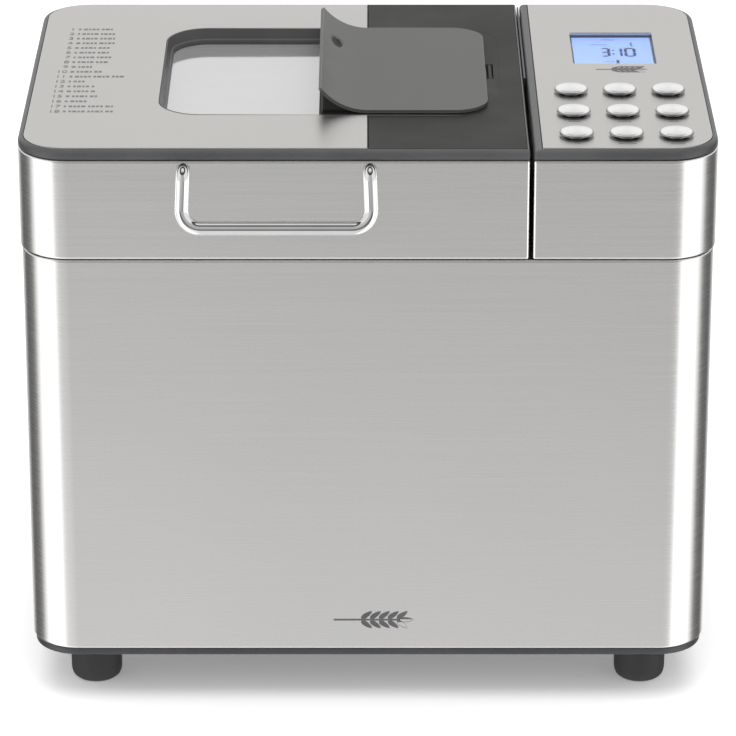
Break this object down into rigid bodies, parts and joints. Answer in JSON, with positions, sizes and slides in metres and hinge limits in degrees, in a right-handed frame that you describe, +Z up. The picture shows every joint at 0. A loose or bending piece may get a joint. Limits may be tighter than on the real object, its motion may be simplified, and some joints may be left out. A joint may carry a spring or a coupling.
{
  "type": "bread machine",
  "caption": "Steel-clad bread machine with a hinged window lid, a flip-up ingredient dispenser, a button panel with a display, and a lift-out pan whose paddle is belt driven.",
  "frame": {"origin": "middle of the whole box in plan, on the surface the feet stand on", "axes": "+X right along the width, +Y from the front with the handle to the rear with the hinge, +Z up"},
  "size_m": [0.36, 0.277, 0.3252],
  "materials": {
    "brushed_steel": "fine brushed, satin",
    "chrome": "polished plating",
    "trim_plastic": "dark grey moulding, fine grain",
    "black_plastic": "black moulding",
    "cover_plastic": "mid grey moulding, fine grain",
    "rubber": "matte",
    "aluminium": "drawn sheet, satin",
    "nonstick": "dark release coating",
    "cast_alloy": "as cast",
    "shaft_steel": "ground",
    "circuit_board": "green solder mask",
    "window_glass": "clear",
    "screen": "blue display",
    "silicone": "pale grey silicone",
    "heater_sheath": "heat-darkened steel tube"
  },
  "bodies": {
    "housing": {"outer_wrap": "brushed_steel", "rear_panel": "black_plastic", "base_tray": "trim_plastic", "foot_front_left": "rubber", "foot_front_right": "rubber", "foot_rear_left": "rubber", "foot_rear_right": "rubber", "top_deck": "trim_plastic", "cord_gland": "rubber", "oven_chamber": "aluminium", "heating_element": "heater_sheath", "temperature_sensor": "shaft_steel", "pan_socket": "cast_alloy", "bearing_housing": "cast_alloy", "drive_belt": "rubber", "motor_bracket": "brushed_steel", "motor_stator": "cast_alloy", "capacitor": "aluminium", "power_board": "circuit_board", "control_band": "brushed_steel", "control_bezel": "trim_plastic", "control_plate": "brushed_steel", "control_board": "circuit_board", "lcd_module": "screen", "screen_lens": "window_glass", "hinge_bracket_left": "trim_plastic", "hinge_bracket_right": "trim_plastic", "hinge_pin_left": "shaft_steel", "hinge_pin_right": "shaft_steel"},
    "drive_train": {"main_shaft": "shaft_steel", "large_pulley": "black_plastic", "drive_coupling": "cast_alloy"},
    "motor_shaft": {"motor_rotor": "shaft_steel", "motor_pulley": "cast_alloy"},
    "pan": {"bread_pan": "nonstick"},
    "bail": {"bail_handle": "chrome"},
    "pan_shaft": {"paddle_shaft": "shaft_steel"},
    "blade": {"kneading_paddle": "nonstick"},
    "lid": {"lid_band": "brushed_steel", "lid_bezel": "trim_plastic", "lid_plate": "brushed_steel", "window_glass": "window_glass", "lid_liner": "aluminium", "lid_seal": "silicone", "lid_handle": "chrome", "dispenser_tray": "black_plastic", "dispenser_actuator": "cast_alloy", "lid_hinge_left": "trim_plastic", "lid_hinge_right": "trim_plastic"},
    "cover": {"dispenser_cover": "cover_plastic"},
    "door": {"dispenser_door": "black_plastic"},
    "button_1": {"button_1": "chrome"},
    "button_2": {"button_2": "chrome"},
    "button_3": {"button_3": "chrome"},
    "button_4": {"button_4": "chrome"},
    "button_5": {"button_5": "chrome"},
    "button_6": {"button_6": "chrome"},
    "button_7": {"button_7": "chrome"},
    "button_8": {"button_8": "chrome"},
    "button_9": {"button_9": "chrome"}
  },
  "joints": [
    {"name": "lid_swing", "type": "hinge", "parent": "housing", "child": "lid", "pos_m": [-0.048, 0.1337, 0.2515], "axis": [-1, 0, 0], "range_deg": [0, 85]},
    {"name": "cover_swing", "type": "hinge", "parent": "lid", "child": "cover", "pos_m": [0.065, 0.0066, 0.3095], "axis": [0, 1, 0], "range_deg": [0, 90]},
    {"name": "door_drop", "type": "hinge", "parent": "lid", "child": "door", "pos_m": [-0.017, 0.0075, 0.2925], "axis": [0, 1, 0], "range_deg": [0, 80]},
    {"name": "pan_lift", "type": "slide", "parent": "housing", "child": "pan", "axis": [0, 0, 1], "range_m": [0, 0.06]},
    {"name": "bail_swing", "type": "hinge", "parent": "pan", "child": "bail", "pos_m": [-0.048, 0.003, 0.212], "axis": [-1, 0, 0], "range_deg": [0, 180]},
    {"name": "drive_spin", "type": "hinge", "parent": "housing", "child": "drive_train", "pos_m": [-0.048, 0.003, 0.05], "axis": [0, 0, 1], "continuous": true},
    {"name": "motor_spin", "type": "hinge", "parent": "housing", "child": "motor_shaft", "pos_m": [0.124, 0.003, 0.05], "axis": [0, 0, 1], "continuous": true},
    {"name": "paddle_spin", "type": "hinge", "parent": "pan", "child": "pan_shaft", "pos_m": [-0.048, 0.003, 0.09], "axis": [0, 0, 1], "continuous": true},
    {"name": "paddle_pull", "type": "slide", "parent": "pan_shaft", "child": "blade", "axis": [0, 0, 1], "range_m": [0, 0.03]},
    {"name": "button_1_press", "type": "slide", "parent": "housing", "child": "button_1", "axis": [0, 0, -1], "range_m": [0, 0.0006], "stiffness_N_per_m": 800, "springref_m": -0.001},
    {"name": "button_2_press", "type": "slide", "parent": "housing", "child": "button_2", "axis": [0, 0, -1], "range_m": [0, 0.0006], "stiffness_N_per_m": 800, "springref_m": -0.001},
    {"name": "button_3_press", "type": "slide", "parent": "housing", "child": "button_3", "axis": [0, 0, -1], "range_m": [0, 0.0006], "stiffness_N_per_m": 800, "springref_m": -0.001},
    {"name": "button_4_press", "type": "slide", "parent": "housing", "child": "button_4", "axis": [0, 0, -1], "range_m": [0, 0.0006], "stiffness_N_per_m": 800, "springref_m": -0.001},
    {"name": "button_5_press", "type": "slide", "parent": "housing", "child": "button_5", "axis": [0, 0, -1], "range_m": [0, 0.0006], "stiffness_N_per_m": 800, "springref_m": -0.001},
    {"name": "button_6_press", "type": "slide", "parent": "housing", "child": "button_6", "axis": [0, 0, -1], "range_m": [0, 0.0006], "stiffness_N_per_m": 800, "springref_m": -0.001},
    {"name": "button_7_press", "type": "slide", "parent": "housing", "child": "button_7", "axis": [0, 0, -1], "range_m": [0, 0.0006], "stiffness_N_per_m": 800, "springref_m": -0.001},
    {"name": "button_8_press", "type": "slide", "parent": "housing", "child": "button_8", "axis": [0, 0, -1], "range_m": [0, 0.0006], "stiffness_N_per_m": 800, "springref_m": -0.001},
    {"name": "button_9_press", "type": "slide", "parent": "housing", "child": "button_9", "axis": [0, 0, -1], "range_m": [0, 0.0006], "stiffness_N_per_m": 800, "springref_m": -0.001}
  ],
  "couplings": [
    {"joint": "motor_spin", "follows": "drive_spin", "ratio": 5.2614},
    {"joint": "paddle_spin", "follows": "drive_spin", "ratio": 1}
  ]
}
